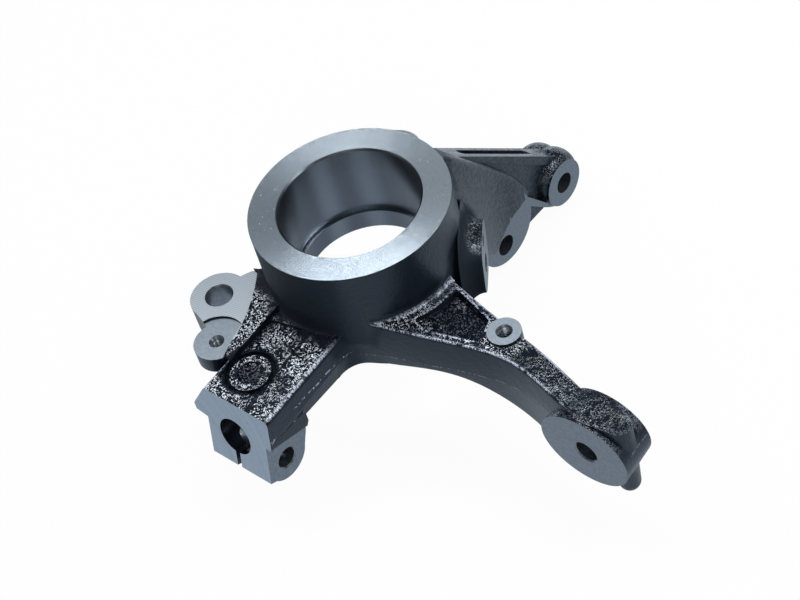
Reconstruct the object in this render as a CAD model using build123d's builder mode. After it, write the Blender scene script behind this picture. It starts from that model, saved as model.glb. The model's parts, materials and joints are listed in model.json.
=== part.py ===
# Front steering knuckle of a strut suspension: one iron casting with machined seats.
# Origin: centre of the wheel bearing's seat. +Z runs out of the hub's outboard face,
# +X points to the steering arm's eye, +Y to the strut tongue, -Y to the ball joint clamp.
# A drop is a depth below the outboard face.
from build123d import *
import os
from math import atan2, cos, radians, sin, tan

os.makedirs("parts", exist_ok=True)

# Hub ring and the bearing seat bored in it
hub_outer_r = 52.5
hub_depth = 58.0
hub_edge_r = 4.0
seat_r = 37.0
seat_depth = 41.0
mouth_chamfer = 1.0
undercut_r = 38.0
undercut_width = 2.2
shoulder_r = 34.5
shoulder_depth = 54.5
inboard_recess_r = 43.0
face_z = (mouth_chamfer + seat_depth) / 2

# Clamp for the ball joint's stud, leaning with the kingpin
kingpin_lean = 12.0
mouth_y = -112.6
mouth_drop = 66.4
stud_r = 10.7
stud_depth = 34.0
clamp_top = 22.6
clamp_bottom = -20.4
clamp_left = -18.9
clamp_right = 24.0
clamp_face_right = 25.4
clamp_nose = 9.2
clamp_nose_top = 8.2
clamp_nose_foot = 4.6
clamp_step_height = 3.4
ear_cheek_x = 22.0
ear_overlap = 4.0
slot_width = 3.0
slot_depth = 34.0
pinch_inset = 13.0
pinch_below = 12.0
pinch_r = 5.6
pinch_ear_r = 13.0
pinch_ear_reach = 16.7

# Arm from the hub to the clamp
clamp_arm_top = 40.0
clamp_arm_bottom = 63.0
clamp_arm_start_y = -40.0
clamp_arm_bow = 1.5
clamp_arm_foot = 4.0
clamp_edge_r = 3.0
clamp_pocket_depth = 2.0
clamp_rim_left = 2.0
clamp_rim_right = 12.0
clamp_rim_end = 9.0
ring_x = -4.5
ring_y = -88.0
ring_r = 11.0
ring_inner_r = 7.0
ring_height = 2.2
moat_r = 13.5
moat_depth = 4.0

# Steering arm
arm_top = 35.0
arm_fall = 2.65
arm_dip = 9.5
arm_dip_x = 145.0
arm_parting = 56.0
arm_draft = 3.0
arm_edge_r = 2.0
arm_root_x = 20.0
arm_rear_line = ((20, 16), (56.2, 7.2), (90.3, -0.2), (118.6, -5.3), (146.4, -12.6), (166, -18))
arm_front_line = (
    (168, -30.8),
    (153, -29.8),
    (124.2, -22.9),
    (105, -21.5),
    (88.9, -24.5),
    (63.5, -32.1),
    (50, -35.9),
    (39, -38.9),
    (29, -42.3),
)
arm_underside_drops = (
    (10, 63.5),
    (36, 63.3),
    (48, 61.8),
    (60, 60),
    (76, 60.4),
    (89, 64.5),
    (104, 72),
    (124, 78.5),
    (160.6, 85),
)
arm_web_depth = 3.5
arm_boss_x = 97.8
arm_boss_y = -7.4
arm_boss_r = 8.75
arm_boss_top = 35.3
arm_thread_r = 3.4
arm_thread_depth = 24.0
arm_thread_mouth_depth = 0.9

# Tie rod eye and the steering stop beside it
eye_x = 160.6
eye_drop = 62.0
eye_face_y = -32.0
eye_length = 22.0
eye_half_width = 25.3
eye_half_height = 21.5
eye_hole_r = 6.0
eye_taper = 2.0
stop_x = 176.6
stop_y = -22.8
stop_r = 6.4
stop_end_r = 5.6
stop_top = 38.8
shoulder_top = 40.2
stop_end = 83.0

# Strut tongue with its two bolts
bolt_spacing = 53.7
bolt_y = 78.2
bolt_drop = 97.2
bolt_r = 6.1
lug_face_x = 20.0
lug_back_x = -8.0
web_x = 14.0
tongue_back_x = 2.0
upper_lug_r = 14.0
upper_lug_root_r = 17.3
lower_lug_r = 22.0
lower_lug_dy = 2.8
lower_lug_dz = 10.0
tongue_top_y = 50.0
tongue_top_drop = 5.2
tongue_foot_drop = 107.5
tongue_rib = 1.6
tongue_rib_width = 3.0
slot_near_x = 11.3
slot_far_x = 5.5
edge_slot_depth = 7.0
edge_slot_middle = 62.0
edge_slot_length = 66.0
edge_slot_end_r = 2.7

# Gusset beside the tongue
gusset_x = 20.4
ridge_r = 4.5

# Caliper ears and the small screw boss beside the lower one
lower_ear = (-51.0, -60.0)
upper_ear = (-37.0, 66.5)
ear_r = 15.6
ear_hole_r = 7.0
ear_face = 40.0
ear_bottom = 56.0
ear_root_top = 38.0
ear_root_rise = 2.4
screw_boss = (-31.7, -83.0)
screw_boss_r = 12.3
screw_face = 41.5
screw_bottom = 51.0
screw_spot_r = 15.5
screw_hole_r = 2.6
screw_mouth = 1.5
hole_mouth = 0.7

# Sensor pad on the hub's side
pad_azimuth = 36.0
pad_tilt = 5.0
pad_radius = 60.8
pad_drop = 49.0
pad_width = 28.0
pad_height = 36.0
pad_corner_r = 9.0
pad_hole_r = 5.0
pad_hole_y = -5.0
pad_screw_rise = 17.0
pad_hole_depth = 12.0

# Where walls of the casting meet
flare_r = 5.0
crotch_drop = 47.5
crotch_bottom = 63.3


def level(drop):
    """Height of a plane that lies this far below the outboard face."""
    return face_z - drop


def flare(drop):
    """Concave ring round the hub, on a surface that lies at this drop."""
    foot = drop + 0.6
    with BuildPart() as ring:
        with BuildSketch(Plane.XZ):
            with BuildLine():
                Line((hub_outer_r - 3, level(foot)), (hub_outer_r + flare_r, level(foot)))
                CenterArc(
                    (hub_outer_r + flare_r, level(foot - flare_r)), flare_r, 180, 90
                )
                Line((hub_outer_r, level(foot - flare_r)), (hub_outer_r - 3, level(foot - flare_r)))
                Line((hub_outer_r - 3, level(foot - flare_r)), (hub_outer_r - 3, level(foot)))
            make_face()
        revolve(axis=Axis.Z)
    return ring.part


lean = radians(kingpin_lean)
clamp_plane = Plane(
    origin=(0, mouth_y, level(mouth_drop)),
    x_dir=(1, 0, 0),
    z_dir=(0, -cos(lean), sin(lean)),
)
pinch_y = mouth_y + pinch_inset * cos(lean) - pinch_below * sin(lean)
pinch_z = level(mouth_drop) - pinch_inset * sin(lean) - pinch_below * cos(lean)
clamp_brow = clamp_plane.from_local_coords(Vector(0, clamp_top, 0))
crown_slope = atan2(level(clamp_arm_top) - clamp_brow.Z, clamp_arm_start_y - clamp_brow.Y)
crown_plane = Plane(
    origin=clamp_brow,
    x_dir=(1, 0, 0),
    z_dir=(0, -sin(crown_slope), cos(crown_slope)),
)
ring_along = (ring_y - clamp_brow.Y) / cos(crown_slope)
arm_slope = tan(radians(arm_fall))
arm_plane = Plane(
    origin=(0, 0, level(arm_top - hub_outer_r * arm_slope)),
    x_dir=(cos(radians(arm_fall)), 0, -sin(radians(arm_fall))),
    z_dir=(sin(radians(arm_fall)), 0, cos(radians(arm_fall))),
)
dip_plane = Plane(
    origin=(arm_dip_x, 0, level(arm_top + (arm_dip_x - hub_outer_r) * arm_slope)),
    x_dir=(cos(radians(arm_dip)), 0, -sin(radians(arm_dip))),
    z_dir=(sin(radians(arm_dip)), 0, cos(radians(arm_dip))),
)

# Hub: a thick ring, still solid until its bore is cut at the end
with BuildPart() as hub:
    with BuildSketch(Plane.XY.offset(level(hub_depth))):
        Circle(hub_outer_r)
    extrude(amount=hub_depth)
    fillet(hub.edges().group_by(Axis.Z)[0], hub_edge_r)

# Clamp arm: lofted from the hub to the clamp's face, with a bow at the parting line
with BuildPart() as clamp_arm:
    with BuildSketch(Plane.XZ.offset(-clamp_arm_start_y)) as arm_root:
        middle = level((clamp_arm_top + clamp_arm_bottom) / 2)
        with BuildLine():
            Polyline(
                (clamp_left - 1, level(clamp_arm_top)),
                (clamp_right, level(clamp_arm_top)),
                (clamp_right + clamp_arm_bow, middle),
                (clamp_right, level(clamp_arm_bottom)),
                (clamp_left - 1, level(clamp_arm_bottom)),
                (clamp_left - 3, middle - 1),
                (clamp_left - 3, middle + 1),
                close=True,
            )
        make_face()
    with BuildSketch(clamp_plane) as arm_end:
        with BuildLine():
            Polyline(
                (clamp_left, clamp_top),
                (clamp_face_right, clamp_top),
                (clamp_face_right + 0.4, clamp_nose_top),
                (clamp_face_right + 0.4, clamp_arm_foot),
                (clamp_left, clamp_step_height),
                (clamp_left - clamp_nose + 1.2, clamp_nose_foot),
                (clamp_left - clamp_nose, clamp_nose_top),
                close=True,
            )
        make_face()
    loft(ruled=True)
    clamp_crown = clamp_arm.faces().sort_by(Axis.Z)[-1]
    fillet(clamp_crown.edges().filter_by(Axis.X, reverse=True), clamp_edge_r)

# Clamp ears: the block round the stud bore, rounded about the pinch bolt
with BuildPart() as clamp_ears:
    with BuildSketch(Plane.YZ.offset(clamp_left)) as ear_profile:
        shelf = clamp_plane.from_local_coords(Vector(0, clamp_step_height + ear_overlap, 0))
        foot = clamp_plane.from_local_coords(Vector(0, clamp_bottom, 0))
        with BuildLine():
            Polyline(
                (shelf.Y, shelf.Z),
                (foot.Y, foot.Z),
                (pinch_y, pinch_z - pinch_ear_r),
                (pinch_y + 12.6, pinch_z - 3.2),
                (pinch_y + pinch_ear_reach, pinch_z + 5.8),
                (pinch_y + pinch_ear_reach - 1, pinch_z + 11.4),
                (pinch_y + pinch_ear_reach + 0.8, pinch_z + 14.0),
                (pinch_y + pinch_ear_reach + 0.8, pinch_z + 16.6),
                (pinch_y + pinch_ear_reach + 0.8, shelf.Z),
                close=True,
            )
        make_face()
        with Locations((pinch_y, pinch_z)):
            Circle(pinch_ear_r)
    extrude(amount=clamp_face_right + 0.4 - clamp_left)
    # cheek milled for the pinch bolt's head, below the painted wall
    with BuildSketch(Plane.YZ.offset(ear_cheek_x)) as cheek:
        with BuildLine():
            Polyline(
                (pinch_y - 27, pinch_z + 24.4),
                (pinch_y + 18, pinch_z + 10.7),
                (pinch_y + 18, pinch_z - 30),
                (pinch_y - 27, pinch_z - 30),
                close=True,
            )
        make_face()
    extrude(amount=10, mode=Mode.SUBTRACT)


def arm_section(drop):
    """Plan outline of the steering arm at a drop, drawn in from its widest by the draft."""
    inset = abs(drop - arm_parting) * tan(radians(arm_draft))
    rear = [(x, y - inset) for x, y in arm_rear_line]
    front = [(x, y + inset) for x, y in arm_front_line]
    with BuildSketch(Plane.XY.offset(level(drop))) as section:
        with BuildLine():
            Spline(rear)
            Line(rear[-1], front[0])
            Spline(front)
            Polyline(front[-1], (arm_root_x, front[-1][1]), rear[0])
        make_face()
    return section.sketch


# Steering arm: drafted both ways from its parting line, rounded along the top edges, then
# cut to its underside from the side
with BuildPart() as steering_arm:
    loft([arm_section(arm_parting), arm_section(arm_top - 10)])
    split(bisect_by=arm_plane, keep=Keep.BOTTOM)
    arm_crown = steering_arm.faces().sort_by(Axis.Z)[-1]
    fillet(arm_crown.edges().filter_by(GeomType.LINE, reverse=True), arm_edge_r)
    split(bisect_by=dip_plane, keep=Keep.BOTTOM)
    loft([arm_section(arm_parting + 34), arm_section(arm_parting)])
    with BuildSketch(Plane.XZ.offset(60)) as arm_profile:
        with BuildLine():
            underside = Spline([(x, level(drop)) for x, drop in arm_underside_drops])
            Polyline(underside @ 1, (eye_x, level(0)), (10, level(0)), underside @ 0)
        make_face()
    extrude(amount=-120, mode=Mode.INTERSECT)


def crotch_section(drop, draw_in):
    """Plan of the hollow between clamp arm and steering arm at a drop, drawn in under the hub."""
    wall_x = clamp_right + 0.4 - draw_in
    with BuildSketch(Plane.XY.offset(level(drop))) as section:
        with BuildLine():
            web = Spline(
                (wall_x, -58),
                (wall_x + 0.4, -50.5 + draw_in),
                (wall_x + 4.0, -44.6 + draw_in),
                (wall_x + 10.0, -40.9 + draw_in),
                (wall_x + 20.0, -34.7 + draw_in),
            )
            Polyline(web @ 1, (40 - draw_in, -18), (10, -18), (10, -58), web @ 0)
        make_face()
    return section.sketch


# Hollow between the two arms: a web that eases out of the hub's wall
with BuildPart() as crotch:
    loft([crotch_section(crotch_drop, 0), crotch_section(crotch_drop - 15, 5.5)])
    loft([crotch_section(crotch_bottom, 0), crotch_section(crotch_drop, 0)])
    with BuildSketch(Plane.XY.offset(level(crotch_bottom))) as between_arms:
        with BuildLine():
            Polyline(
                (clamp_right, -35),
                (clamp_right, -75),
                (80, -75),
                (80, -20),
                (45, -20),
                close=True,
            )
        make_face()
    extrude(amount=60, mode=Mode.INTERSECT)

# Flares that ease the hub's wall into the top of each arm
with BuildPart() as steering_flare:
    add(flare(arm_top))
    with BuildSketch(Plane.XY.offset(level(arm_top + 5))) as steering_root:
        with BuildLine():
            Polyline(
                (29, -40.6),
                (39, -37.0),
                (50, -34.0),
                (63.5, -30.2),
                (63.5, 4.5),
                (29, 12.5),
                close=True,
            )
        make_face()
    extrude(amount=20, mode=Mode.INTERSECT)
with BuildPart() as clamp_flare:
    add(flare(clamp_arm_top + 1.6))
    with BuildSketch(Plane.XY.offset(level(clamp_arm_top + 5))) as clamp_root:
        with BuildLine():
            Polyline(
                (clamp_left - 1, -30),
                (clamp_left - 1, -70),
                (clamp_right, -70),
                (clamp_right, -30),
                close=True,
            )
        make_face()
    extrude(amount=20, mode=Mode.INTERSECT)

# Tie rod eye with the steering stop beside it
with BuildPart() as eye:
    with BuildSketch(Plane.XZ.offset(-eye_face_y)) as eye_face:
        with Locations((eye_x - 1, level(eye_drop))):
            Ellipse(eye_half_width, eye_half_height)
    with BuildSketch(Plane.XZ.offset(-eye_face_y - eye_length)) as eye_back:
        with Locations((eye_x - 1, level(eye_drop))):
            Ellipse(eye_half_width - eye_taper, eye_half_height - eye_taper)
    loft()
    with BuildSketch(Plane.XY.offset(level(eye_drop))) as shoulder:
        with BuildLine():
            Polyline(
                (stop_x, stop_y + stop_r),
                (stop_x - 19, stop_y + stop_r + 3),
                (stop_x - 19, stop_y - stop_r - 2),
                (stop_x, stop_y - stop_r),
                close=True,
            )
        make_face()
        with Locations((stop_x, stop_y)):
            Circle(stop_r)
    extrude(amount=eye_drop - shoulder_top)
    with BuildSketch(Plane.XZ.offset(-stop_y)) as stop:
        with BuildLine():
            Polyline(
                (stop_x, level(stop_end)),
                (stop_x, level(stop_top)),
                (stop_x + stop_r - 1.5, level(stop_top)),
                (stop_x + stop_r, level(stop_top + 1.5)),
                (stop_x + stop_r, level(eye_drop)),
                (stop_x + stop_end_r, level(stop_end)),
            )
            JernArc((stop_x + stop_end_r, level(stop_end)), (0, -1), stop_end_r, -90)
            Line((stop_x, level(stop_end + stop_end_r)), (stop_x, level(stop_end)))
        make_face()
    revolve(axis=Axis((stop_x, stop_y, 0), (0, 0, 1)))

# Strut tongue: a plate on edge, with a lug at each bolt and a rib along its edge
upper_bolt = (bolt_y + bolt_spacing, level(bolt_drop))
lower_bolt = (bolt_y, level(bolt_drop))
lower_lug = (bolt_y + lower_lug_dy, level(bolt_drop - lower_lug_dz))
brow_end = (upper_bolt[0] + upper_lug_r * 0.67, upper_bolt[1] + upper_lug_r * 0.74)
brow_angle = atan2(brow_end[1] - level(tongue_top_drop), brow_end[0] - tongue_top_y)
brow_plane = Plane(
    origin=((slot_near_x + slot_far_x) / 2, tongue_top_y, level(tongue_top_drop)),
    x_dir=(0, cos(brow_angle), sin(brow_angle)),
    z_dir=(0, -sin(brow_angle), cos(brow_angle)),
)
with BuildPart() as tongue:
    with BuildSketch(Plane.YZ.offset(tongue_back_x)) as plate:
        with BuildLine():
            Polyline(
                (35, level(12)),
                (tongue_top_y, level(tongue_top_drop)),
                brow_end,
                upper_bolt,
                (upper_bolt[0] - 9, level(tongue_foot_drop)),
                (lower_lug[0], level(tongue_foot_drop)),
                (62, level(100)),
                (48, level(62)),
                (35, level(56)),
                close=True,
            )
        make_face()
        with Locations(upper_bolt):
            Circle(upper_lug_r)
        with Locations(lower_lug):
            Circle(lower_lug_r)
    extrude(amount=web_x - tongue_back_x)
    with BuildSketch(Plane.YZ.offset(lug_back_x)) as lower_boss:
        with Locations(lower_lug):
            Circle(lower_lug_r)
    extrude(amount=lug_face_x - lug_back_x)
    # upper lug, swollen round its middle
    with BuildSketch(Plane.XY.offset(upper_bolt[1])) as upper_boss:
        with BuildLine():
            Polyline(
                (lug_face_x, upper_bolt[0]),
                (lug_face_x, upper_bolt[0] + upper_lug_r),
                (lug_face_x - 1.5, upper_bolt[0] + upper_lug_r),
            )
            ThreePointArc(
                (lug_face_x - 1.5, upper_bolt[0] + upper_lug_r),
                (12, upper_bolt[0] + upper_lug_root_r),
                (3.5, upper_bolt[0] + upper_lug_root_r - 1.6),
            )
            ThreePointArc(
                (3.5, upper_bolt[0] + upper_lug_root_r - 1.6),
                (-2.5, upper_bolt[0] + upper_lug_root_r - 1.2),
                (lug_back_x, upper_bolt[0] + upper_lug_r - 1),
            )
            Polyline(
                (lug_back_x, upper_bolt[0] + upper_lug_r - 1),
                (lug_back_x, upper_bolt[0]),
                (lug_face_x, upper_bolt[0]),
            )
        make_face()
    revolve(axis=Axis((0, upper_bolt[0], upper_bolt[1]), (1, 0, 0)))
    # rib that ties the two machined lugs
    with BuildSketch(Plane.YZ.offset(web_x - 1)) as tie:
        with BuildLine():
            Polyline(
                (98, level(77)),
                (103, level(82)),
                (117.5, level(101)),
                (113.5, level(100)),
                (99, level(85)),
                close=True,
            )
        make_face()
    extrude(amount=lug_face_x - web_x + 1)

    # bead along the diagonal edge, and the slot cast into that edge
    with BuildSketch(Plane.YZ.offset(web_x - 1)) as bead:
        with BuildLine():
            Polyline(
                (tongue_top_y, level(tongue_top_drop)),
                brow_end,
                (brow_end[0] - tongue_rib_width * 1.3, brow_end[1] - tongue_rib_width * 1.3),
                (tongue_top_y, level(tongue_top_drop + tongue_rib_width * 1.3)),
                close=True,
            )
        make_face()
    extrude(amount=tongue_rib + 1)
    with BuildSketch(brow_plane) as edge_slot:
        with Locations((edge_slot_middle, 0)):
            RectangleRounded(edge_slot_length, slot_near_x - slot_far_x, edge_slot_end_r)
    extrude(amount=-edge_slot_depth, mode=Mode.SUBTRACT)


def flank_section(drop, spread):
    """Plan of the gusset at a drop: its flank eases into the hub's wall, wider by the spread."""
    with BuildSketch(Plane.XY.offset(level(drop))) as section:
        with BuildLine():
            foot_x = 26 + 18 * spread
            foot_y = 44 - 16 * spread
            Polyline(
                (foot_x, foot_y),
                (foot_x - 6, 10),
                (8, 10),
                (8, 112),
                (gusset_x - 1, 112),
                (gusset_x, 92),
            )
            Spline(
                (gusset_x, 92),
                (gusset_x + 0.2 * spread, 77),
                (gusset_x + 1.5 + 3.5 * spread, 58),
                (foot_x, foot_y),
            )
        make_face()
    return section.sketch


# Gusset from the hub's wall to the lower strut lug, cut to its ridge from the side
with BuildPart() as gusset:
    loft([flank_section(100, 1.72), flank_section(0, 0.0)])
    with BuildSketch(Plane.YZ) as gusset_side:
        with BuildLine():
            Spline(
                (38, level(-6)),
                (51, level(2.5)),
                (63, level(16.5)),
                (76, level(32.5)),
                (89, level(49.5)),
                (98, level(62.5)),
                (103, level(74)),
                (104, level(80.5)),
            )
            Polyline(
                (104, level(80.5)),
                (90.2, level(82.7)),
                (78.5, level(87.8)),
                (70.5, level(91)),
                (64, level(88.5)),
                (57, level(80)),
                (44, level(58)),
                (25, level(58)),
                (25, level(-6)),
                (38, level(-6)),
            )
        make_face()
    extrude(amount=60, mode=Mode.INTERSECT)
    ridge = gusset.edges().filter_by_position(Axis.X, 20.3, 26).sort_by(Edge.length)[-1]
    fillet(ridge, ridge_r)

# Caliper ears: the lower one also carries the screw boss and leans on the clamp arm
with BuildPart() as lower_ear_arm:
    with BuildSketch(Plane.XY.offset(level(ear_bottom))) as lower_plan:
        with BuildLine():
            Polyline(
                (-50, -44.5),
                (-47, -38.5),
                (-42.5, -37),
                (-20, -20),
                (clamp_left + 2, -50),
                (clamp_left + 2, -89),
                (-28, -85),
                (-46.5, -77.5),
                (-55, -74.8),
                lower_ear,
                close=True,
            )
        make_face()
        with Locations(lower_ear):
            Circle(ear_r)
    extrude(amount=ear_bottom - 30)
    with BuildSketch(Plane.XY.offset(level(screw_bottom))) as boss_plan:
        with Locations(screw_boss):
            Circle(screw_boss_r)
    extrude(amount=screw_bottom - 35)
    split(bisect_by=crown_plane.offset(ear_root_rise), keep=Keep.BOTTOM)

with BuildPart() as upper_ear_arm:
    with BuildSketch(Plane.XY.offset(level(ear_bottom))) as upper_plan:
        with BuildLine():
            Polyline(
                (upper_ear[0] - ear_r + 1, upper_ear[1] - 2),
                (-50, 40),
                (0, 0),
                (0, 45),
                (upper_ear[0] + ear_r - 4, upper_ear[1] + 8),
                upper_ear,
                close=True,
            )
        make_face()
        with Locations(upper_ear):
            Circle(ear_r)
    extrude(amount=ear_bottom - ear_root_top)

# Sensor pad: a flat boss on the hub's side, leaning a little inboard
around = radians(pad_azimuth)
tilt = radians(pad_tilt)
pad_plane = Plane(
    origin=(pad_radius * cos(around), pad_radius * sin(around), level(pad_drop)),
    x_dir=(-sin(around), cos(around), 0),
    z_dir=(cos(around) * cos(tilt), sin(around) * cos(tilt), -sin(tilt)),
)
with BuildPart() as sensor_pad:
    with BuildSketch(pad_plane) as pad_face:
        RectangleRounded(pad_width, pad_height, pad_corner_r)
    with BuildSketch(pad_plane.offset(-2)) as pad_rim:
        RectangleRounded(pad_width + 0.4, pad_height + 0.4, pad_corner_r)
    with BuildSketch(pad_plane.offset(-6)) as pad_neck:
        RectangleRounded(pad_width + 4, pad_height + 5, pad_corner_r + 2)
    with BuildSketch(pad_plane.offset(-11)) as pad_root:
        RectangleRounded(pad_width + 18, pad_height + 20, pad_corner_r + 6)
    loft()

with BuildPart() as steering_knuckle:
    add(hub.part)
    add(clamp_arm.part)
    add(clamp_ears.part)
    add(steering_arm.part)
    add(steering_flare.part)
    add(clamp_flare.part)
    add(crotch.part)
    add(eye.part)
    add(tongue.part)
    add(gusset.part)
    add(lower_ear_arm.part)
    add(upper_ear_arm.part)
    add(sensor_pad.part)

    # Pocket in the top of the clamp arm, with a bare raised ring in it
    with BuildSketch(crown_plane) as clamp_pocket:
        with BuildLine():
            Polyline(
                (clamp_left + clamp_rim_left, clamp_rim_end),
                (clamp_left + clamp_rim_left, 50),
                (clamp_right - clamp_rim_right - 8, 54),
                (clamp_right - clamp_rim_right, clamp_rim_end + 3),
                (clamp_right - clamp_rim_right - 3, clamp_rim_end),
                close=True,
            )
        make_face()
        fillet(clamp_pocket.vertices(), 2.5)
    extrude(amount=-clamp_pocket_depth, mode=Mode.SUBTRACT)
    with BuildSketch(crown_plane) as moat:
        with Locations((ring_x, ring_along)):
            Circle(moat_r)
            Circle(ring_inner_r, mode=Mode.SUBTRACT)
    extrude(amount=-moat_depth, mode=Mode.SUBTRACT)
    with BuildSketch(crown_plane.offset(-moat_depth)) as raised_ring:
        with Locations((ring_x, ring_along)):
            Circle(ring_r)
            Circle(ring_inner_r, mode=Mode.SUBTRACT)
    extrude(amount=ring_height)
    with BuildSketch(crown_plane) as ring_middle:
        with Locations((ring_x, ring_along)):
            Circle(ring_inner_r)
    extrude(amount=-moat_depth + 0.8, mode=Mode.SUBTRACT)

    # Pocket in the top of the steering arm, its hub side following the ring
    with BuildSketch(arm_plane) as arm_pocket:
        with BuildLine():
            near = Polyline((53.5, -24), (63, -26.5), (90, -18.5), (86.5, -5), (60.5, 2.5))
            ThreePointArc(near @ 1, (58.6, -12), near @ 0)
        make_face()
        fillet(arm_pocket.vertices(), 2.0)
    extrude(amount=-arm_web_depth, mode=Mode.SUBTRACT)

    # Bearing seat, undercut and shoulder
    with BuildSketch(Plane.XZ) as bore_section:
        with BuildLine():
            Polyline(
                (0, level(-1)),
                (seat_r + mouth_chamfer, level(-1)),
                (seat_r + mouth_chamfer, level(0)),
                (seat_r, level(mouth_chamfer)),
                (seat_r, level(seat_depth)),
                (undercut_r, level(seat_depth)),
                (undercut_r, level(seat_depth + undercut_width)),
                (shoulder_r, level(seat_depth + undercut_width)),
                (shoulder_r, level(shoulder_depth)),
                (inboard_recess_r, level(shoulder_depth)),
                (inboard_recess_r, level(hub_depth + 20)),
                (0, level(hub_depth + 20)),
                close=True,
            )
        make_face()
    revolve(axis=Axis.Z, mode=Mode.SUBTRACT)

    # Stud bore, its slot and the pinch bolt's hole
    with BuildSketch(clamp_plane) as stud_mouth:
        Circle(stud_r)
    extrude(amount=-stud_depth, mode=Mode.SUBTRACT)
    with BuildSketch(clamp_plane) as slot_mouth:
        with Locations((0, -15)):
            Rectangle(slot_width, 30)
    extrude(amount=-slot_depth, mode=Mode.SUBTRACT)
    with BuildSketch(Plane.YZ.offset(-40)) as pinch_hole:
        with Locations((pinch_y, pinch_z)):
            Circle(pinch_r)
    extrude(amount=80, mode=Mode.SUBTRACT)
    with BuildSketch(Plane.YZ.offset(ear_cheek_x)) as pinch_mouth:
        with Locations((pinch_y, pinch_z)):
            Circle(pinch_r + hole_mouth)
    extrude(amount=-hole_mouth, taper=45, mode=Mode.SUBTRACT)

    # Tie rod hole
    with BuildSketch(Plane.XZ.offset(-eye_face_y)) as tie_rod_hole:
        with Locations((eye_x, level(eye_drop))):
            Circle(eye_hole_r)
    extrude(amount=-eye_length - 10, mode=Mode.SUBTRACT)
    with BuildSketch(Plane.XZ.offset(-eye_face_y)) as tie_rod_mouth:
        with Locations((eye_x, level(eye_drop))):
            Circle(eye_hole_r + hole_mouth)
    extrude(amount=-hole_mouth, taper=45, mode=Mode.SUBTRACT)

    # Strut bolts
    with BuildSketch(Plane.YZ.offset(-40)) as strut_holes:
        with Locations(lower_bolt, upper_bolt):
            Circle(bolt_r)
    extrude(amount=80, mode=Mode.SUBTRACT)

    # Spot faces and holes of the caliper ears
    with BuildSketch(Plane.XY.offset(level(ear_face))) as lower_spot:
        with BuildLine():
            arc = ThreePointArc((-42.5, -38.0), (-31.4, -56.0), (-25.9, -69.4))
            Polyline(arc @ 1, (-20, -88), (-20, -100), (-80, -100), (-80, -38), arc @ 0)
        make_face()
    extrude(amount=20, mode=Mode.SUBTRACT)
    with BuildSketch(Plane.XY.offset(level(ear_face))) as upper_spot:
        with Locations(upper_ear):
            Circle(ear_r + 3)
    extrude(amount=20, mode=Mode.SUBTRACT)
    with BuildSketch(Plane.XY.offset(level(screw_face))) as screw_spot:
        with Locations(screw_boss):
            Circle(screw_spot_r)
        with BuildLine():
            Polyline((-27, -68), (-21.6, -87), (-18, -100), (0, -100), (0, -68), close=True)
        make_face(mode=Mode.SUBTRACT)
    extrude(amount=20, mode=Mode.SUBTRACT)
    with BuildSketch(Plane.XY.offset(level(ear_bottom + 5))) as ear_holes:
        with Locations(lower_ear, upper_ear):
            Circle(ear_hole_r)
        with Locations(screw_boss):
            Circle(screw_hole_r)
    extrude(amount=40, mode=Mode.SUBTRACT)
    with BuildSketch(Plane.XY.offset(level(ear_face))) as ear_mouths:
        with Locations(lower_ear, upper_ear):
            Circle(ear_hole_r + hole_mouth)
    extrude(amount=-hole_mouth, taper=45, mode=Mode.SUBTRACT)
    with BuildSketch(Plane.XY.offset(level(screw_face))) as screw_hole_mouth:
        with Locations(screw_boss):
            Circle(screw_hole_r + screw_mouth)
    extrude(amount=-screw_mouth, taper=45, mode=Mode.SUBTRACT)

    # Threaded boss on the steering arm
    with BuildSketch(Plane.XY.offset(level(arm_boss_top + 30))) as arm_boss:
        with Locations((arm_boss_x, arm_boss_y)):
            Circle(arm_boss_r)
    extrude(amount=30)
    with BuildSketch(Plane.XY.offset(level(arm_boss_top))) as arm_thread:
        with Locations((arm_boss_x, arm_boss_y)):
            Circle(arm_thread_r)
    extrude(amount=-arm_thread_depth, mode=Mode.SUBTRACT)
    with BuildSketch(Plane.XY.offset(level(arm_boss_top))) as arm_thread_mouth:
        with Locations((arm_boss_x, arm_boss_y)):
            Circle(arm_thread_r + arm_thread_mouth_depth)
    extrude(amount=-arm_thread_mouth_depth, taper=45, mode=Mode.SUBTRACT)

    # Sensor hole and its screw hole
    with BuildSketch(pad_plane) as pad_holes:
        with Locations((0, pad_hole_y)):
            Circle(pad_hole_r)
        with Locations((0, pad_hole_y + pad_screw_rise)):
            Circle(arm_thread_r)
    extrude(amount=-pad_hole_depth, mode=Mode.SUBTRACT)

steering_knuckle.part.label = "steering_knuckle"
export_step(steering_knuckle.part, "parts/steering_knuckle.step")
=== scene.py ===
import json
from math import pi, radians

import bpy
import numpy as np
from mathutils import Matrix, Quaternion, Vector


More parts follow.
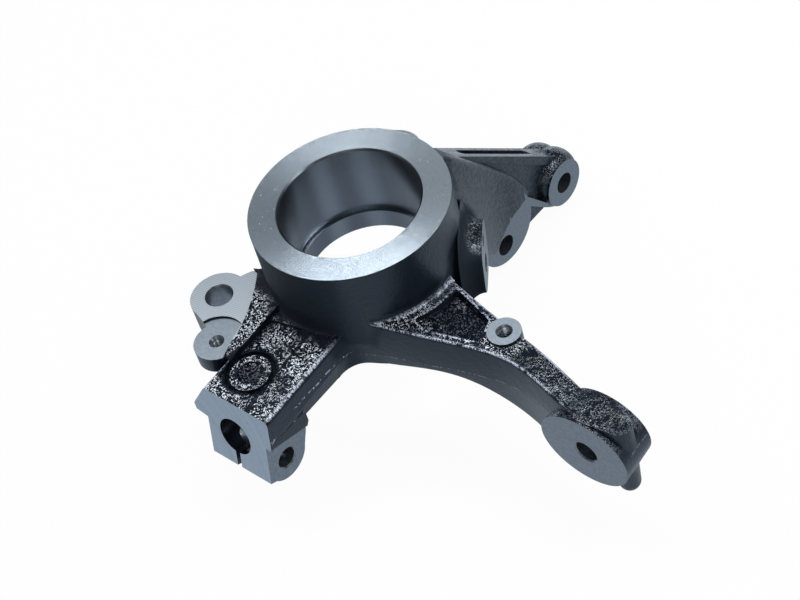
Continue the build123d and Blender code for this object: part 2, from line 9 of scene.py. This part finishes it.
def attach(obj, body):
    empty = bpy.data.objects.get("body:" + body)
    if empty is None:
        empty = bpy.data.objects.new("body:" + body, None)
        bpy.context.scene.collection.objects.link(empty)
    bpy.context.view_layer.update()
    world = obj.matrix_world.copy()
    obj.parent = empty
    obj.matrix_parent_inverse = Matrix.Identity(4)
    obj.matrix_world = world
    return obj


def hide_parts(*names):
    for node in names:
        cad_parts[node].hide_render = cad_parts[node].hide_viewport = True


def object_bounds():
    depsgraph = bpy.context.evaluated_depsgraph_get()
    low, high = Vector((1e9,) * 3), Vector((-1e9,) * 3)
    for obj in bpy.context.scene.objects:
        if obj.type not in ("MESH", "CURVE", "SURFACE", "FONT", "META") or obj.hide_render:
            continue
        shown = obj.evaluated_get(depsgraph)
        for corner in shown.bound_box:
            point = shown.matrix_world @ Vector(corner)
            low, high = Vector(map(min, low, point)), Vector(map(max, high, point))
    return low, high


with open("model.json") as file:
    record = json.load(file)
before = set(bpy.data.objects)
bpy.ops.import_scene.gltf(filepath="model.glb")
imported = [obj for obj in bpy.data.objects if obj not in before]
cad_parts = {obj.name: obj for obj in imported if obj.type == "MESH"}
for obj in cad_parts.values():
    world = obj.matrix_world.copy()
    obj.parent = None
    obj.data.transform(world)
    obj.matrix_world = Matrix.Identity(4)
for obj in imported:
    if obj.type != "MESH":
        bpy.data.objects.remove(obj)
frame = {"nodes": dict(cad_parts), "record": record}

cad_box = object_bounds()

# Camera. It stands outboard of the knuckle, over the gap between the ball joint clamp and
# the steering arm, and looks down at the bearing ring with a long lens.
camera_place = Vector((0.58121, -0.43295, 0.71471))
camera_right = Vector((0.75326, 0.62537, -0.20376))
camera_up = Vector((-0.37167, 0.66030, 0.65259))

camera_data = bpy.data.cameras.new("camera")
camera_data.sensor_width = 36.0
camera_data.lens = 90.0
camera_data.clip_start = 0.05
camera_data.clip_end = 50.0
camera = bpy.data.objects.new("camera", camera_data)
camera_axes = Matrix((camera_right, camera_up, camera_right.cross(camera_up))).transposed()
camera.matrix_world = Matrix.Translation(camera_place) @ camera_axes.to_4x4()
bpy.context.scene.collection.objects.link(camera)
bpy.context.scene.camera = camera
bpy.context.scene.view_settings.view_transform = "Standard"


# Studio. A white table under the part and plain softboxes: a strip behind the hub, one on
# each side, and a weak fill in front, in a dim room, so that black paint stays black. The
# camera and bare metal see the table as paper white, and the camera sees the room so too.
floor_size = 6.0
floor_white = (0.86, 0.87, 0.88, 1.0)
floor_seen = (1.0, 1.0, 1.0, 1.0)
floor_in_metal = (0.74, 0.83, 0.93, 1.0)
floor_glow = 0.96
room_grey = (0.17, 0.18, 0.19, 1.0)
lamp_aim = (0.04, 0.0, 0.0)


class Wire:
    """An output socket in a material. Arithmetic on it adds Math nodes, node() adds any other."""

    def __init__(self, tree, socket=None):
        self.tree = tree
        self.socket = socket

    def node(self, kind, settings={}, inputs={}, output=0):
        """Adds a node: its settings first, then the values or wires of its sockets."""
        made = self.tree.nodes.new(kind)
        for name, value in settings.items():
            setattr(made, name, value)
        for name, value in inputs.items():
            if isinstance(value, Wire):
                self.tree.links.new(value.socket, made.inputs[name])
            else:
                made.inputs[name].default_value = value
        return Wire(self.tree, made.outputs[output] if made.outputs else None)

    def other(self, name):
        """Another output of the same node."""
        return Wire(self.tree, self.socket.node.outputs[name])

    def maths(self, operation, *terms):
        """A Math node on some numbers or wires."""
        return self.node("ShaderNodeMath", {"operation": operation}, dict(enumerate(terms)))

    def vector(self, operation, *terms, output=0):
        """A Vector Math node; its output 1 is the one that holds a number."""
        terms = dict(enumerate(terms))
        return self.node("ShaderNodeVectorMath", {"operation": operation}, terms, output)

    def __add__(self, other):
        return self.maths("ADD", self, other)

    __radd__ = __add__

    def __sub__(self, other):
        return self.maths("SUBTRACT", self, other)

    def __rsub__(self, other):
        return self.maths("SUBTRACT", other, self)

    def __mul__(self, other):
        return self.maths("MULTIPLY", self, other)

    def __abs__(self):
        return self.maths("ABSOLUTE", self)

    def step(self, low, high):
        """0 below low, 1 above high, and a smooth rise between them."""
        settings = {"interpolation_type": "SMOOTHSTEP"}
        return self.node("ShaderNodeMapRange", settings, {0: self, 1: low, 2: high})

    def noise(self, rate, detail=3.0, roughness=0.55, distortion=0.0):
        """Noise between 0 and 1 read at this place, with rate cells to the metre."""
        inputs = {"Vector": self, "Scale": rate, "Detail": detail, "Roughness": roughness}
        inputs["Distortion"] = distortion
        return self.node("ShaderNodeTexNoise", {}, inputs)

    def from_point(self, point, across=(1.0, 1.0, 1.0)):
        """Length of the way from a point to this place, with some of its axes left out."""
        way = self.vector("MULTIPLY", self.vector("SUBTRACT", self, point), across)
        return self.vector("LENGTH", way, output=1)

    def leant(self, direction, amount):
        """This normal plus a direction times an amount, brought back to length 1."""
        inputs = {0: direction, "Scale": amount}
        lean = self.node("ShaderNodeVectorMath", {"operation": "SCALE"}, inputs)
        return self.vector("NORMALIZE", self.vector("ADD", self, lean))

    def blend(self, low_colour, high_colour):
        """Mix of two colours by this wire, from the first at 0 to the second at 1."""
        inputs = {0: self, 6: low_colour, 7: high_colour}
        return self.node("ShaderNodeMix", {"data_type": "RGBA"}, inputs, 2)


def new_finish(name):
    """An empty material, the wire of its Object coordinates, and the wire of its normal."""
    material = bpy.data.materials.new(name)
    material.use_nodes = True
    material.node_tree.nodes.clear()
    start = Wire(material.node_tree)
    place = start.node("ShaderNodeTexCoord", output="Object")
    return material, place, start.node("ShaderNodeNewGeometry", output="Normal")


def principled(wire, **values):
    """Ends a material with a Principled shader; underscores in names stand for spaces."""
    inputs = {name.replace("_", " "): value for name, value in values.items()}
    shader = wire.node("ShaderNodeBsdfPrincipled", {}, inputs)
    wire.node("ShaderNodeOutputMaterial", {}, {"Surface": shader})


floor_mesh = bpy.data.meshes.new("floor")
half = floor_size / 2
low = cad_box[0][2]
floor_corners = [(-half, -half, low), (half, -half, low), (half, half, low), (-half, half, low)]
floor_mesh.from_pydata(floor_corners, [], [(0, 1, 2, 3)])
floor = bpy.data.objects.new("floor", floor_mesh)
bpy.context.scene.collection.objects.link(floor)
table_white, place, normal = new_finish("table_white")
to_camera = place.node("ShaderNodeLightPath", output="Is Camera Ray")
to_metal = to_camera.other("Is Glossy Ray")
paper = place.node("ShaderNodeBsdfDiffuse", {}, {"Color": floor_white})
glow_colour = to_camera.blend(floor_in_metal, floor_seen)
glow = place.node("ShaderNodeEmission", {}, {"Color": glow_colour, "Strength": 1.0})
seen = place.maths("MAXIMUM", to_camera, to_metal) * floor_glow
shown = place.node("ShaderNodeMixShader", {}, {0: seen, 1: paper, 2: glow})
place.node("ShaderNodeOutputMaterial", {}, {"Surface": shown})
floor_mesh.materials.append(table_white)

world = bpy.data.worlds.new("room")
bpy.context.scene.world = world
world.use_nodes = True
to_camera = Wire(world.node_tree).node("ShaderNodeLightPath", output="Is Camera Ray")
room = to_camera.blend(room_grey, floor_seen)
world.node_tree.links.new(room.socket, world.node_tree.nodes["Background"].inputs["Color"])


def softbox(name, place, width, height, watts, roll=0.0):
    """A rectangular lamp that faces the hub, rolled about its own axis by some degrees."""
    lamp_data = bpy.data.lights.new(name, "AREA")
    lamp_data.shape = "RECTANGLE"
    lamp_data.size = width
    lamp_data.size_y = height
    lamp_data.energy = watts
    lamp = bpy.data.objects.new(name, lamp_data)
    lamp.location = place
    facing = (Vector(lamp_aim) - Vector(place)).to_track_quat("-Z", "Y")
    lamp.rotation_euler = (facing @ Quaternion((0.0, 0.0, 1.0), radians(roll))).to_euler()
    bpy.context.scene.collection.objects.link(lamp)


softbox("strip_softbox", (-0.41, 0.21, 1.25), 1.1, 0.30, 11.0, -22.0)
softbox("right_softbox", (0.62, 0.58, 1.02), 0.7, 0.35, 7.0)
softbox("left_softbox", (-0.86, -0.48, 0.90), 0.7, 0.35, 1.6)
softbox("fill_softbox", (1.10, -1.20, 0.90), 1.0, 1.0, 4.5)


# Casting. Ductile iron, cast in sand and painted black, then machined at each seat. The
# solid is copied with its doubles merged, so that its rounds shade smooth, and each face
# takes the paint or the finish of the tool that cut it.
smooth_below = radians(32.0)
grid_step = 1e-6
no_area = 1e-20
plane_gap = 0.00005
plane_cosine = 0.9998
end_slack = 0.0005
solid = frame["nodes"]["steering_knuckle"].data
corners = np.empty(len(solid.vertices) * 3)
solid.vertices.foreach_get("co", corners)
triangles = np.empty(len(solid.loops), dtype=np.int32)
solid.loops.foreach_get("vertex_index", triangles)
cells = np.round(corners.reshape(-1, 3) / grid_step).astype(np.int64)
cells, shared = np.unique(cells, axis=0, return_inverse=True)
corners = cells * grid_step
triangles = shared.reshape(-1)[triangles.reshape(-1, 3)]
flat = (triangles == np.roll(triangles, 1, axis=1)).any(axis=1)
triangles = triangles[~flat]
middles = corners[triangles].mean(axis=1)
sides = np.cross(
    corners[triangles[:, 1]] - corners[triangles[:, 0]],
    corners[triangles[:, 2]] - corners[triangles[:, 0]],
)
sides /= np.linalg.norm(sides, axis=1)[:, None] + no_area
mounts = {mount["name"]: mount for mount in frame["record"]["mounts"]}


def seat(name):
    """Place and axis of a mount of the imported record."""
    return np.array(mounts[name]["pos_m"]), np.array(mounts[name]["axis"])


def on_plane(origin, outward):
    """Triangles whose middle lies on a plane and whose normal is the plane's own."""
    outward = np.array(outward) / np.linalg.norm(outward)
    near = np.abs((middles - origin) @ outward) < plane_gap
    return near & (sides @ outward > plane_cosine)


def in_hole(mouth, inward, reach, depth):
    """Triangles that face a hole's axis, within a reach of it and a depth below its mouth."""
    inward = np.array(inward) / np.linalg.norm(inward)
    from_mouth = middles - mouth
    along = from_mouth @ inward
    out = from_mouth - along[:, None] * inward
    facing = (sides * out).sum(axis=1) < 0
    near = np.linalg.norm(out, axis=1) < reach
    return facing & near & (along > -end_slack) & (along < depth)


finishes = []
finish_of = np.zeros(len(triangles), dtype=np.int32)


def finish(material, *faces):
    """Gives each set of triangles to a material, and adds it to the casting's list."""
    for chosen in faces:
        finish_of[chosen] = len(finishes)
    finishes.append(material)


# black paint: painted glints, as bright grains, on the faces that look up, smoother on the
# drafted walls. The glints are left out, a painted shade, in the moat round the cast ring,
# along each step and at the hub's foot, and a painted highlight runs along the edges
paint_black = (0.0035, 0.0065, 0.0135, 1.0)
painted_glint_colour = (0.88, 0.93, 1.0, 1.0)
painted_highlight = (0.58, 0.64, 0.80, 1.0)
paint_drag = (0.0140, 0.0190, 0.0280, 1.0)
paint_worn = (0.0260, 0.0330, 0.0430, 1.0)
blue_shine = (0.70, 0.85, 1.0, 1.0)
origin = (0.0, 0.0, 0.0)
in_plan = (1.0, 1.0, 0.0)
cast_ring = (-0.0045, -0.0880, 0.0)
pad_root = (0.0430, 0.0270, -0.0300)
pocket_hub_radius = 0.0592
pocket_corners = (
    (0.0535, -0.0240),
    (0.0630, -0.0265),
    (0.0900, -0.0185),
    (0.0865, -0.0050),
    (0.0605, 0.0025),
)
clamp_edge_shade_line = ((0.0106, -0.1052), (0.0083, -0.0549))
edge_round = 0.0007
relief_height = 0.0010
away_from_strip = (-0.66, 0.75, 0.0)
black_paint, place, normal = new_finish("black_paint")


def past_line(start, end):
    """Distance in plan from the line through two points, positive on the left of it."""
    way = np.subtract(end, start)
    left = np.array((-way[1], way[0])) / np.hypot(*way)
    along_left = place.vector("DOT_PRODUCT", place, (left[0], left[1], 0.0), output=1)
    return along_left - float(left @ start)


x = place.node("ShaderNodeSeparateXYZ", {}, {0: place}, "X")
y = x.other("Y")
z = x.other("Z")
upward = place.node("ShaderNodeSeparateXYZ", {}, {0: normal}, "Z")
sand = upward.step(0.45, 0.85)
wall = 1.0 - sand
on_arms = 1.0 - y.step(0.015, 0.030)
on_clamp_arm = 1.0 - x.step(0.024, 0.034)
swell = place.noise(210.0, 3.0, 0.55)
pebbles = place.noise(500.0, 2.0, 0.6, 0.5)
fine_pebbles = place.noise(760.0, 2.0, 0.6, 0.5)
pits = place.noise(1200.0, 1.0, 0.5)
leather = place.noise(800.0, 1.0, 0.5)
regions = place.noise(48.0, 1.0, 0.5)
wander = regions - 0.5
grain = place.noise(900.0, 2.0, 0.6).other("Color")
grain = place.vector("SUBTRACT", grain, (0.5, 0.5, 0.5))
soft_edge = place.node("ShaderNodeBevel", {"samples": 4}, {"Radius": edge_round})
relief = swell * (0.22 + sand * 0.4) + leather * 0.14
inputs = {"Height": relief, "Distance": relief_height, "Strength": 1.0, "Normal": soft_edge}
waves = place.node("ShaderNodeBump", {}, inputs)

from_ring = place.from_point(cast_ring, in_plan)
moat = from_ring.step(0.0105, 0.0112) * (1.0 - from_ring.step(0.0144, 0.0156))
bowl = 1.0 - from_ring.step(0.0060, 0.0072)
from_hub = place.from_point(origin, in_plan)
into_pocket = from_hub - pocket_hub_radius
for start, end in zip(pocket_corners, pocket_corners[1:]):
    into_pocket = place.maths("MINIMUM", into_pocket, past_line(start, end))
in_pocket = into_pocket.step(-0.0001, 0.0004)
pocket_foot_shade = in_pocket * (1.0 - into_pocket.step(0.0008, 0.0022))
pocket_edge = into_pocket.step(-0.0014, -0.0008) * (1.0 - in_pocket)
# painted shade: a dark line along one edge of the clamp arm's pocket
past_edge_shade_line = past_line(*clamp_edge_shade_line) + wander * 0.004
edge_shade_line = (1.0 - abs(past_edge_shade_line).step(0.0006, 0.0014)) * on_arms
hub_foot_shade = (1.0 - (from_hub + wander * 0.030).step(0.0565, 0.0625)) * on_clamp_arm
# painted shade: the painted glints fade out in the moat, the bowl in the ring, the pocket and its
# foot, along the dark edge line and at the hub's foot
outside_painted_shade = (1.0 - moat * 0.97) * (1.0 - bowl * 0.8) * (1.0 - in_pocket * 0.55)
outside_painted_shade = outside_painted_shade * (1.0 - pocket_foot_shade * 0.9) * (1.0 - edge_shade_line * 0.9) * (1.0 - hub_foot_shade * 0.95)

# painted glints, as bright grains: strands where a noise crosses its middle, finer beyond
# the arm's boss, and thick on the clamp arm
beyond_boss = x.step(0.095, 0.108)
glint_density = (0.25 + regions.step(0.38, 0.58) * 0.75) * (1.0 - x.step(0.106, 0.118) * 0.6)
clamp_glint_density = (0.55 + regions.step(0.38, 0.52) * 0.45) * on_clamp_arm
glint_density = place.maths("MAXIMUM", glint_density, clamp_glint_density) * (0.35 + on_arms * 0.65)
between = abs(pebbles - 0.5) * (1.0 - beyond_boss) + abs(fine_pebbles - 0.5) * beyond_boss
strands = (1.0 - (between - on_clamp_arm * 0.008).step(0.026, 0.042)) * pits.step(0.42, 0.52)
glint = strands * swell.step(0.36, 0.48) * glint_density * sand * outside_painted_shade
# painted highlight along the rounded edges and the pocket's rim
rounded = 1.0 - upward.step(0.90, 0.98)
edge_highlight = place.maths("MAXIMUM", rounded, pocket_edge * pits.step(0.44, 0.54))
edge_highlight = edge_highlight * sand * pits.step(0.38, 0.50) * swell.step(0.36, 0.50) * on_arms
edge_highlight = edge_highlight * (1.0 - x.step(0.132, 0.142) * 0.8) * (1.0 - hub_foot_shade)

# parting of the two moulds: painted glints where its ridge runs along the arms' walls, and
# greyer paint below it. On the steering arm it is level, on the clamp arm it climbs towards the
# hub with a hump
steering_parting_drop = 0.0350
clamp_parting_drop = 0.0305
clamp_parting_y = 0.040
clamp_parting_slope = 0.0958
hump_y = 0.080
hump_half_length = 0.030
hump_height = 0.0045
wave_height = 0.012
on_steering = x.step(0.027, 0.032) * (1.0 - y.step(0.0, 0.005))
on_clamp = (1.0 - y.step(-0.055, -0.045)) * x.step(0.010, 0.015)
parting_wave = wander * wave_height
hump = 1.0 - abs(y + hump_y).step(0.0, hump_half_length)
above_clamp = z + clamp_parting_drop - (y + clamp_parting_y) * clamp_parting_slope
above_clamp = above_clamp - hump * hump_height + parting_wave
above_steering = z + steering_parting_drop + parting_wave * 0.4
flash_glint = (1.0 - abs(above_steering).step(0.0001, 0.0005)) * on_steering * 0.35
flash_glint = flash_glint + (1.0 - abs(above_clamp).step(0.0002, 0.0009)) * on_clamp
flash_glint = flash_glint * wall * pebbles.step(0.49, 0.55) * regions.step(0.40, 0.50)
drag_side = (1.0 - above_steering.step(-0.0006, 0.0002)) * on_steering * wall

# walls made black, over the clamp arm and round the pad, by leaning their normals up to
# mirror the dim room and by roughening them; worn grey on the tongue and on the hub's wall beside
# it
below_ring = 1.0 - z.step(-0.012, -0.003)
at_clamp = 1.0 - y.step(-0.04, -0.03)
hub_side = abs(x + 0.004 + wander * 0.020).step(0.008, 0.027)
hub_shade = (1.0 - hub_side) * below_ring * at_clamp * wall
hub_shade = hub_shade * (1.0 - from_hub.step(0.0530, 0.0550))
pad_shade = (1.0 - place.from_point(pad_root).step(0.027, 0.034)) * wall
wall_shade = place.maths("MAXIMUM", hub_shade, pad_shade)
worn = pebbles.step(0.46, 0.54) * (1.0 - on_arms) * wall * (1.0 - pad_shade)
colour = drag_side.blend(worn.blend(paint_black, paint_worn), paint_drag)
colour = (edge_highlight * 0.9 + flash_glint * 0.8).blend(colour, painted_highlight)
grained = waves.leant(grain, sand * 0.12 + 0.04)
grained = grained.leant(away_from_strip, sand * (0.40 - outside_painted_shade * 0.28) - glint * 0.28)
principled(
    place,
    Base_Color=glint.blend(colour, painted_glint_colour),
    Roughness=0.36 - sand * 0.16 + wall_shade * 0.3 + hub_foot_shade * 0.3,
    Specular_IOR_Level=0.42,
    Specular_Tint=blue_shine,
    Normal=grained.leant((0.0, 0.0, 1.0), wall_shade * 0.7),
)
finish(black_paint)

# the ring's outboard face and the shoulder under the seat, turned: a grain too fine to see
# leans along the radius, so that the shine spreads across the grooves, with a few nicks,
# a random mottle, and painted light that makes one side of the ring lighter than the other
turned_light = (0.66, 0.76, 0.85, 1.0)
turned_dark = (0.44, 0.52, 0.60, 1.0)
nick_bright = (0.78, 0.82, 0.86, 1.0)
painted_light_way = (0.4, 0.9, 0.0)
groove_rate = 60000.0
turned_face, place, normal = new_finish("turned_face")
radial = place.vector("NORMALIZE", place.vector("MULTIPLY", place, in_plan))
grooves = place.noise(groove_rate, 0.0)
mottle = place.noise(1400.0, 3.0, 0.7)
nicks = place.noise(900.0, 1.0, 0.5, 1.0).step(0.77, 0.81)
# painted light: one side of the ring lighter than the other
painted_light_side = place.vector("DOT_PRODUCT", radial, painted_light_way, output=1)
mottle_and_painted_light = mottle.step(0.30, 0.70) * 0.5 + painted_light_side * 0.45 + 0.25
principled(
    place,
    Base_Color=nicks.blend(mottle_and_painted_light.blend(turned_dark, turned_light), nick_bright),
    Metallic=1.0,
    Roughness=0.22 + mottle * 0.04 + nicks * 0.25,
    Normal=normal.leant(radial, (grooves - 0.5) * 0.95),
)

# the bearing seat, bored and honed, with a honed mottle and two soft bands of painted reflection
bored_dark = (0.066, 0.076, 0.090, 1.0)
bored_light = (0.185, 0.21, 0.24, 1.0)
undercut_light = (0.46, 0.50, 0.54, 1.0)
hub_reach = 0.0432
below_face = 0.0001
bored_seat, place, normal = new_finish("bored_seat")
x = place.node("ShaderNodeSeparateXYZ", {}, {0: place}, "X")
y = x.other("Y")
z = x.other("Z")
turn = place.maths("ARCTAN2", y * -1.0, x * -1.0)
# painted reflection: two soft bands at fixed turns round the axis
first_reflection_band = 1.0 - abs(turn + 0.37).step(0.02, 0.26)
second_reflection_band = 1.0 - abs(turn + 0.99).step(0.02, 0.28)
radius = place.from_point(origin, in_plan)
undercut = radius.step(0.0371, 0.0376) * (1.0 - radius.step(0.041, 0.043)) * 0.16
unrolled = place.node("ShaderNodeCombineXYZ", {}, {0: turn * 40.0, 1: z * 1200.0})
honed = unrolled.noise(1.0, 3.0, 0.65)
grooves = place.node("ShaderNodeCombineXYZ", {}, {0: z * groove_rate}).noise(1.0, 0.0)
reflection_bands_and_honing = (first_reflection_band * 0.50 + second_reflection_band * 0.46) * (0.5 + honed) + honed * 0.45
principled(
    place,
    Base_Color=undercut.blend(reflection_bands_and_honing.blend(bored_dark, bored_light), undercut_light),
    Metallic=1.0,
    Roughness=0.25,
    Normal=normal.leant((0.0, 0.0, 1.0), (grooves - 0.5) * 0.8),
)
ring_face, outboard = seat("outboard_face")
in_hub = np.hypot(middles[:, 0], middles[:, 1]) < hub_reach
shoulder = in_hub & (sides[:, 2] > 0.99) & (middles[:, 2] < 0)
finish(turned_face, on_plane(ring_face, outboard))
finish(bored_seat, in_hub & (middles[:, 2] < ring_face[2] - below_face))
finish_of[shoulder] = finishes.index(turned_face)

# the caliper ears, milled in fine parallel lines
milled_light = (0.50, 0.56, 0.62, 1.0)
milled_dark = (0.37, 0.42, 0.48, 1.0)
line_gap = 0.0013
across_lines = (0.8, -0.6, 0.0)
caliper_side_x = -0.015
milled_face, place, normal = new_finish("milled_face")
across = place.vector("DOT_PRODUCT", place, across_lines, output=1)
lines = place.maths("SINE", across * (2 * pi / line_gap) + place.noise(60.0) * 2.0) * 0.5 + 0.5
principled(
    place,
    Base_Color=lines.blend(milled_dark, milled_light),
    Metallic=1.0,
    Roughness=0.36,
    Normal=normal.leant(across_lines, (lines - 0.5) * 0.08),
)
caliper_face, upward_axis = seat("caliper_face")
outer_side = middles[:, 0] < caliper_side_x
finish(milled_face, on_plane(caliper_face, upward_axis) & outer_side)

# the two threaded bosses, spot faced
spot_light = (0.34, 0.40, 0.46, 1.0)
spot_dark = (0.26, 0.31, 0.36, 1.0)
screw_boss_drop = 0.0415
arm_boss_rise = 0.01245
spot_face, place, normal = new_finish("spot_face")
grain = place.noise(900.0, 3.0, 0.7)
principled(
    place,
    Base_Color=grain.step(0.2, 0.8).blend(spot_dark, spot_light),
    Metallic=1.0,
    Roughness=0.30 + grain * 0.1,
)
arm_screw, screw_axis = seat("arm_screw")
finish(
    spot_face,
    on_plane(ring_face * (0, 0, 1) - (0, 0, screw_boss_drop), upward_axis) & outer_side,
    on_plane(arm_screw + screw_axis * arm_boss_rise, screw_axis),
)

# the clamp's end, cut with one sweep of a wide cutter
cut_light = (0.36, 0.41, 0.47, 1.0)
cut_dark = (0.27, 0.31, 0.355, 1.0)
sweep_middle = (-0.045, -0.118, -0.070)
sweep_rate = 260.0
clamp_mouth_rise = 0.017
clamp_cut, place, normal = new_finish("clamp_cut")
sweep = place.from_point(sweep_middle)
arcs = place.node("ShaderNodeCombineXYZ", {}, {0: sweep * sweep_rate}).noise(1.0, 4.0, 0.7)
grain = place.noise(800.0, 3.0, 0.7)
principled(
    place,
    Base_Color=(arcs * 0.6 + grain * 0.4).step(0.32, 0.68).blend(cut_dark, cut_light),
    Metallic=1.0,
    Roughness=0.34 + grain * 0.1,
)
clamp_middle, clamp_axis = seat("ball_joint_clamp")
clamp_mouth = clamp_middle + clamp_axis * clamp_mouth_rise
finish(clamp_cut, on_plane(clamp_mouth, clamp_axis))

# the tie rod eye, the strut lugs, the pinch bolt's cheek and the sensor pad, plain milled
bare_light = (0.215, 0.245, 0.272, 1.0)
bare_dark = (0.145, 0.168, 0.19, 1.0)
skin_height = 0.00008
eye_length = 0.022
lug_length = 0.028
cheek_x = 0.022
cheek_end_y = -0.05
pad_rise = 0.006
bare_iron, place, normal = new_finish("bare_iron")
grain = place.noise(800.0, 3.0, 0.7)
inputs = {"Height": grain, "Distance": skin_height, "Strength": 0.5}
principled(
    place,
    Base_Color=grain.step(0.25, 0.75).blend(bare_dark, bare_light),
    Metallic=1.0,
    Roughness=0.40 + grain * 0.1,
    Normal=place.node("ShaderNodeBump", {}, inputs),
)
eye_face, eye_axis = seat("tie_rod_face")
strut_face, strut_axis = seat("strut_face")
sensor_hole, pad_axis = seat("sensor_hole")
finish(
    bare_iron,
    on_plane(eye_face, eye_axis),
    on_plane(eye_face - eye_axis * eye_length, -eye_axis),
    on_plane(strut_face, strut_axis),
    on_plane(strut_face - strut_axis * lug_length, -strut_axis),
    on_plane((cheek_x, 0.0, 0.0), (1.0, 0.0, 0.0)) & (middles[:, 1] < cheek_end_y),
    on_plane(sensor_hole + pad_axis * pad_rise, pad_axis),
)

# walls of the drilled holes; the stud's bore in the clamp is honed like the bearing seat
drilled_light = (0.27, 0.30, 0.34, 1.0)
drilled_dark = (0.09, 0.105, 0.12, 1.0)
past_mouth = 0.003
hole_reaches = {
    "pinch_bolt": 0.0068,
    "tie_rod_eye": 0.0072,
    "caliper_bolt_lower": 0.0082,
    "caliper_bolt_upper": 0.0082,
    "shield_screw": 0.0045,
    "arm_screw": 0.0046,
    "sensor_hole": 0.0055,
    "sensor_screw": 0.0040,
}
strut_hole_reach = 0.0066
strut_hole_depth = 0.030
stud_bore_reach = 0.0112
stud_bore_depth = 0.036
drilled_hole, place, normal = new_finish("drilled_hole")
chatter = place.noise(500.0, 3.0, 0.6)
principled(
    place,
    Base_Color=chatter.blend(drilled_dark, drilled_light),
    Metallic=0.88,
    Roughness=0.28 + chatter * 0.1,
)
holes = []
for name, reach in hole_reaches.items():
    hole, hole_axis = seat(name)
    far = mounts[name]["dims"]["length_mm"] / 2000 + past_mouth
    holes.append(in_hole(hole + hole_axis * far, -hole_axis, reach, 2 * far))
strut_middle, strut_bolt_axis = seat("strut_bolts")
half_spacing = mounts["strut_bolts"]["dims"]["spacing_x_mm"] / 2000
for side in (-half_spacing, half_spacing):
    mouth = strut_middle + (0, side, 0)
    holes.append(in_hole(mouth, -strut_bolt_axis, strut_hole_reach, strut_hole_depth))
finish(drilled_hole, *holes)
stud_bore = in_hole(clamp_mouth, -clamp_axis, stud_bore_reach, stud_bore_depth)
finish_of[stud_bore] = finishes.index(bored_seat)


# Threads. The arm's boss and the small boss between the caliper ears are tapped for a screw,
# so each holds a thread cut in the iron itself, still wet with oil. It is a surface of its
# own, and it closes the hole where the casting's mesh leaves out the plain wall.
thread_light = (0.50, 0.55, 0.60, 1.0)
thread_dark = (0.20, 0.23, 0.26, 1.0)
columns_round = 48
rows_per_pitch = 10
wall_gap = 0.00003
level_below = 0.2
tapped_iron, place, normal = new_finish("tapped_iron")
oil = place.noise(350.0, 3.0, 0.6)
principled(
    place,
    Base_Color=oil.step(0.35, 0.65).blend(thread_dark, thread_light),
    Metallic=1.0,
    Roughness=0.22 + oil * 0.1,
)


def thread_wall(top, length, core, pitch, crest):
    """Wall of a tapped hole round a vertical axis: radius = core + crest times a triangle wave
    of depth / pitch + turn, with the wave fading out over half a pitch at both ends."""
    around = np.linspace(0.0, 1.0, columns_round + 1)[:-1]
    depth = np.linspace(0.0, length, int(length / pitch * rows_per_pitch) + 1)[:, None]
    wave = 1.0 - np.abs(2.0 * ((depth / pitch + around) % 1.0) - 1.0)
    fade = np.clip(np.minimum(depth, length - depth) / (pitch / 2), 0.0, 1.0)
    radius = core + crest * wave * fade
    grid = np.stack(
        (
            top[0] + radius * np.cos(2 * pi * around),
            top[1] + radius * np.sin(2 * pi * around),
            top[2] - np.broadcast_to(depth, radius.shape),
        ),
        axis=-1,
    )
    rows, columns = radius.shape
    number = np.arange(rows * columns).reshape(rows, columns)
    beside = np.roll(number, -1, axis=1)
    faces = np.stack((number[:-1], beside[:-1], beside[1:], number[1:]), axis=-1).reshape(-1, 4)
    return grid.reshape(-1, 3), faces


plain_wall = np.zeros(len(triangles), dtype=bool)
for name, pitch, crest in (("arm_screw", 0.00125, 0.0006), ("shield_screw", 0.0010, 0.0005)):
    hole, hole_axis = seat(name)
    core = mounts[name]["dims"]["r_mm"] / 1000
    length = mounts[name]["dims"]["length_mm"] / 1000
    top = hole + hole_axis * length / 2
    hole_wall = in_hole(top, -hole_axis, core + wall_gap, length + end_slack)
    plain_wall |= hole_wall & (np.abs(sides @ hole_axis) < level_below)
    points, faces = thread_wall(top, length, core, pitch, crest)
    thread_mesh = bpy.data.meshes.new(name + "_thread")
    thread_mesh.from_pydata(points, [], faces)
    thread_mesh.shade_smooth()
    thread_mesh.set_sharp_from_angle(angle=smooth_below)
    thread_mesh.materials.append(tapped_iron)
    thread = bpy.data.objects.new(name + "_thread", thread_mesh)
    bpy.context.scene.collection.objects.link(thread)
    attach(thread, "root")

# the casting's mesh comes last, without the walls that the threads take the place of
casting_mesh = bpy.data.meshes.new("casting")
casting_mesh.from_pydata(corners, [], triangles[~plain_wall])
casting_mesh.shade_smooth()
casting_mesh.set_sharp_from_angle(angle=smooth_below)
for material in finishes:
    casting_mesh.materials.append(material)
casting_mesh.polygons.foreach_set("material_index", finish_of[~plain_wall])
casting_mesh.update()
casting = bpy.data.objects.new("casting", casting_mesh)
bpy.context.scene.collection.objects.link(casting)
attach(casting, "root")
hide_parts("steering_knuckle")
